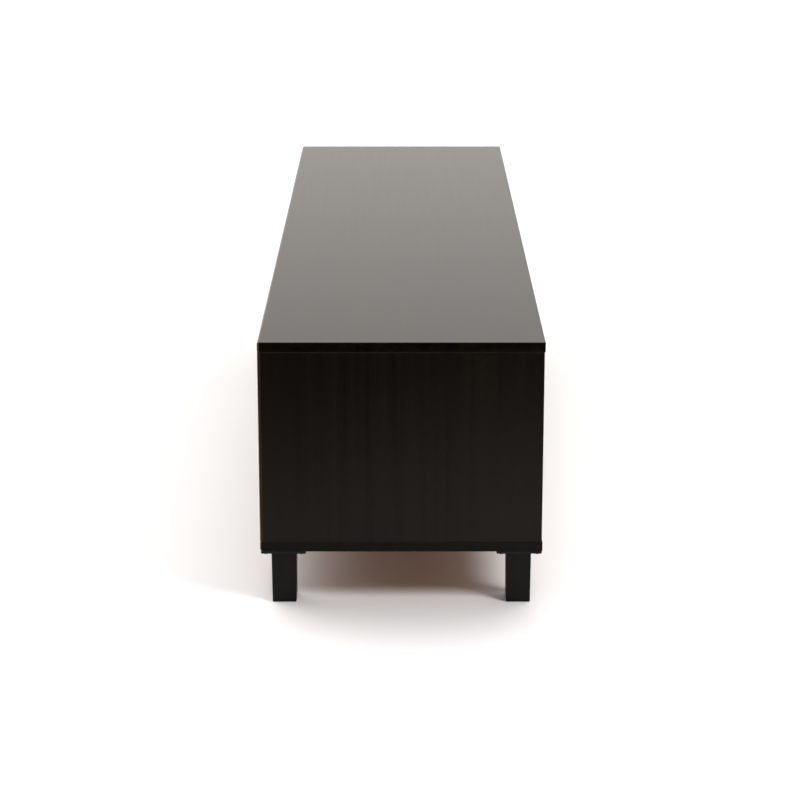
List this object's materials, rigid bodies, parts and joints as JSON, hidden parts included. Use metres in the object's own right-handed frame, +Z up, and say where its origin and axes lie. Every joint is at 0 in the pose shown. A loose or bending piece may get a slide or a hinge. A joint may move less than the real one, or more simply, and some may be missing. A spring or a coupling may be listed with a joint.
{
  "type": "dresser with drawers",
  "caption": "Long low dresser in black-brown board with inset drawers without handles, finger gaps over their fronts, and short square legs on screwed plates.",
  "frame": {"origin": "on the floor, under the middle of the dresser's footprint", "axes": "+X along the length, towards the right-hand end for someone who stands at the drawers; +Y from the drawer fronts to the back; +Z up"},
  "size_m": [1.8, 0.45, 0.436],
  "materials": {
    "black_brown_board": "black-brown woodgrain melamine, satin, with warmer brown edge banding on the front edges",
    "drawer_board": "dark brown foil-wrapped board, matt",
    "hardboard": "brown hardboard, matt",
    "leg_wood": "black-brown stained and lacquered wood, satin",
    "leg_plate_steel": "black powder-coated steel",
    "runner_steel": "zinc-plated steel with nylon rollers"
  },
  "bodies": {
    "carcass": {"top_panel": "black_brown_board", "bottom_panel": "black_brown_board", "end_panel_left": "black_brown_board", "end_panel_right": "black_brown_board", "centre_divider": "black_brown_board", "back_panel_left": "hardboard", "back_panel_right": "hardboard", "front_rail_lower_left": "black_brown_board", "front_rail_lower_right": "black_brown_board", "front_rail_upper_left": "black_brown_board", "front_rail_upper_right": "black_brown_board", "leg_back_left": "leg_wood", "leg_back_middle": "leg_wood", "leg_back_right": "leg_wood", "leg_front_left": "leg_wood", "leg_front_middle": "leg_wood", "leg_front_right": "leg_wood", "leg_plate_back_left": "leg_plate_steel", "leg_plate_back_middle": "leg_plate_steel", "leg_plate_back_right": "leg_plate_steel", "leg_plate_front_left": "leg_plate_steel", "leg_plate_front_middle": "leg_plate_steel", "leg_plate_front_right": "leg_plate_steel", "cabinet_runner_lower_left_inner": "runner_steel", "cabinet_runner_lower_left_outer": "runner_steel", "cabinet_runner_lower_right_inner": "runner_steel", "cabinet_runner_lower_right_outer": "runner_steel", "cabinet_runner_upper_left_inner": "runner_steel", "cabinet_runner_upper_left_outer": "runner_steel", "cabinet_runner_upper_right_inner": "runner_steel", "cabinet_runner_upper_right_outer": "runner_steel"},
    "drawer_lower_left": {"drawer_lower_left_back": "drawer_board", "drawer_lower_left_bottom": "hardboard", "drawer_lower_left_front": "black_brown_board", "drawer_lower_left_runner_inner": "runner_steel", "drawer_lower_left_runner_outer": "runner_steel", "drawer_lower_left_side_inner": "drawer_board", "drawer_lower_left_side_outer": "drawer_board"},
    "drawer_lower_right": {"drawer_lower_right_back": "drawer_board", "drawer_lower_right_bottom": "hardboard", "drawer_lower_right_front": "black_brown_board", "drawer_lower_right_runner_inner": "runner_steel", "drawer_lower_right_runner_outer": "runner_steel", "drawer_lower_right_side_inner": "drawer_board", "drawer_lower_right_side_outer": "drawer_board"},
    "drawer_upper_left": {"drawer_upper_left_back": "drawer_board", "drawer_upper_left_bottom": "hardboard", "drawer_upper_left_front": "black_brown_board", "drawer_upper_left_runner_inner": "runner_steel", "drawer_upper_left_runner_outer": "runner_steel", "drawer_upper_left_side_inner": "drawer_board", "drawer_upper_left_side_outer": "drawer_board"},
    "drawer_upper_right": {"drawer_upper_right_back": "drawer_board", "drawer_upper_right_bottom": "hardboard", "drawer_upper_right_front": "black_brown_board", "drawer_upper_right_runner_inner": "runner_steel", "drawer_upper_right_runner_outer": "runner_steel", "drawer_upper_right_side_inner": "drawer_board", "drawer_upper_right_side_outer": "drawer_board"}
  },
  "joints": [
    {"name": "lower_left_drawer_slide", "type": "slide", "parent": "carcass", "child": "drawer_lower_left", "axis": [0, -1, 0], "range_m": [0, 0.29]},
    {"name": "lower_right_drawer_slide", "type": "slide", "parent": "carcass", "child": "drawer_lower_right", "axis": [0, -1, 0], "range_m": [0, 0.29]},
    {"name": "upper_left_drawer_slide", "type": "slide", "parent": "carcass", "child": "drawer_upper_left", "axis": [0, -1, 0], "range_m": [0, 0.29]},
    {"name": "upper_right_drawer_slide", "type": "slide", "parent": "carcass", "child": "drawer_upper_right", "axis": [0, -1, 0], "range_m": [0, 0.29]}
  ]
}
